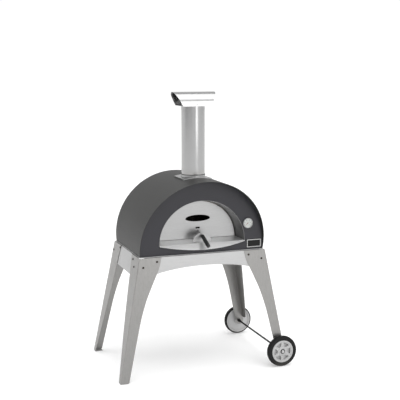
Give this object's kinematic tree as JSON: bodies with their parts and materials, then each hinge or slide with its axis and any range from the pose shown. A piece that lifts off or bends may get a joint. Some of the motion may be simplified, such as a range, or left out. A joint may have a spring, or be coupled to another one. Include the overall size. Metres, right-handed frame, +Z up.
{
  "type": "wood fired pizza oven",
  "caption": "Domed wood fired oven with an arched mouth, lift-out door, hooded flue pipe and dial thermometer, on a splayed sheet-steel stand with a pair of wheels.",
  "frame": {"origin": "on the floor under the middle of the whole outline", "axes": "+X to the wheel side, seen from the front; +Y from the mouth to the back; +Z up"},
  "size_m": [1.1692, 0.7928, 1.761],
  "materials": {
    "shell_paint": "fine matt powder coat",
    "face_paint": "fine matt powder coat",
    "stainless_steel": "satin",
    "leg_steel": "satin",
    "rail_steel": "satin",
    "zinc_steel": "zinc plated",
    "vault_steel": "heat-tinted satin",
    "ceramic_fibre": "fibrous",
    "fibre_board": "matt",
    "firebrick": "matt",
    "black_plastic": "fine grain",
    "black_steel": "black coat",
    "tyre_rubber": "matt",
    "hub_plastic": "satin silver",
    "dial_enamel": "satin white",
    "needle_red": "satin",
    "gauge_glass": "clear"
  },
  "bodies": {
    "oven": {"outer_shell": "shell_paint", "back_panel": "shell_paint", "front_panel": "face_paint", "mouth_liner": "stainless_steel", "sill_plate": "stainless_steel", "flue_collar": "stainless_steel", "flue_pipe": "stainless_steel", "chimney_cap": "stainless_steel", "cap_rivet_front": "stainless_steel", "cap_rivet_rear": "stainless_steel", "gauge_case": "stainless_steel", "gauge_probe": "stainless_steel", "axle_cap_front": "stainless_steel", "axle_cap_rear": "stainless_steel", "leg_front_left": "leg_steel", "leg_rear_left": "leg_steel", "leg_front_right": "leg_steel", "leg_rear_right": "leg_steel", "rail_front": "rail_steel", "rail_rear": "rail_steel", "rail_left": "rail_steel", "rail_right": "rail_steel", "base_pan": "zinc_steel", "foot_pad_front": "zinc_steel", "foot_pad_rear": "zinc_steel", "leg_bolt_front_left": "zinc_steel", "leg_bolt_front_right": "zinc_steel", "leg_bolt_rear_left": "zinc_steel", "leg_bolt_rear_right": "zinc_steel", "axle_spacer_front": "zinc_steel", "axle_spacer_rear": "zinc_steel", "inner_vault": "vault_steel", "vault_front_wall": "vault_steel", "vault_back_wall": "vault_steel", "flue_spigot": "vault_steel", "blanket_insulation": "ceramic_fibre", "front_insulation": "ceramic_fibre", "rear_insulation": "ceramic_fibre", "floor_insulation": "fibre_board", "hearth_tile_front_left": "firebrick", "hearth_tile_front_right": "firebrick", "hearth_tile_rear_left": "firebrick", "hearth_tile_rear_right": "firebrick", "badge_plate": "black_steel", "axle": "black_steel", "gauge_dial": "dial_enamel", "gauge_glass": "gauge_glass"},
    "door": {"door_panel": "stainless_steel", "door_back_sheet": "vault_steel", "handle_rod": "stainless_steel", "handle_retainer": "zinc_steel", "hand_guard": "stainless_steel", "door_grip": "black_plastic"},
    "wheel_front": {"wheel_tyre_front": "tyre_rubber", "wheel_hub_front": "hub_plastic", "wheel_bush_front": "black_plastic"},
    "wheel_rear": {"wheel_tyre_rear": "tyre_rubber", "wheel_hub_rear": "hub_plastic", "wheel_bush_rear": "black_plastic"},
    "needle": {"gauge_needle": "needle_red"}
  },
  "joints": [
    {"name": "door_lift_out", "type": "slide", "parent": "oven", "child": "door", "axis": [0, -1, 0], "range_m": [0, 0.32]},
    {"name": "wheel_front_spin", "type": "hinge", "parent": "oven", "child": "wheel_front", "pos_m": [0.4846, -0.372, 0.1], "axis": [0, 1, 0], "continuous": true},
    {"name": "wheel_rear_spin", "type": "hinge", "parent": "oven", "child": "wheel_rear", "pos_m": [0.4846, 0.372, 0.1], "axis": [0, 1, 0], "continuous": true},
    {"name": "needle_turn", "type": "hinge", "parent": "oven", "child": "needle", "pos_m": [0.2791, -0.2816, 0.937], "axis": [0, 1, 0], "range_deg": [0, 270]}
  ]
}
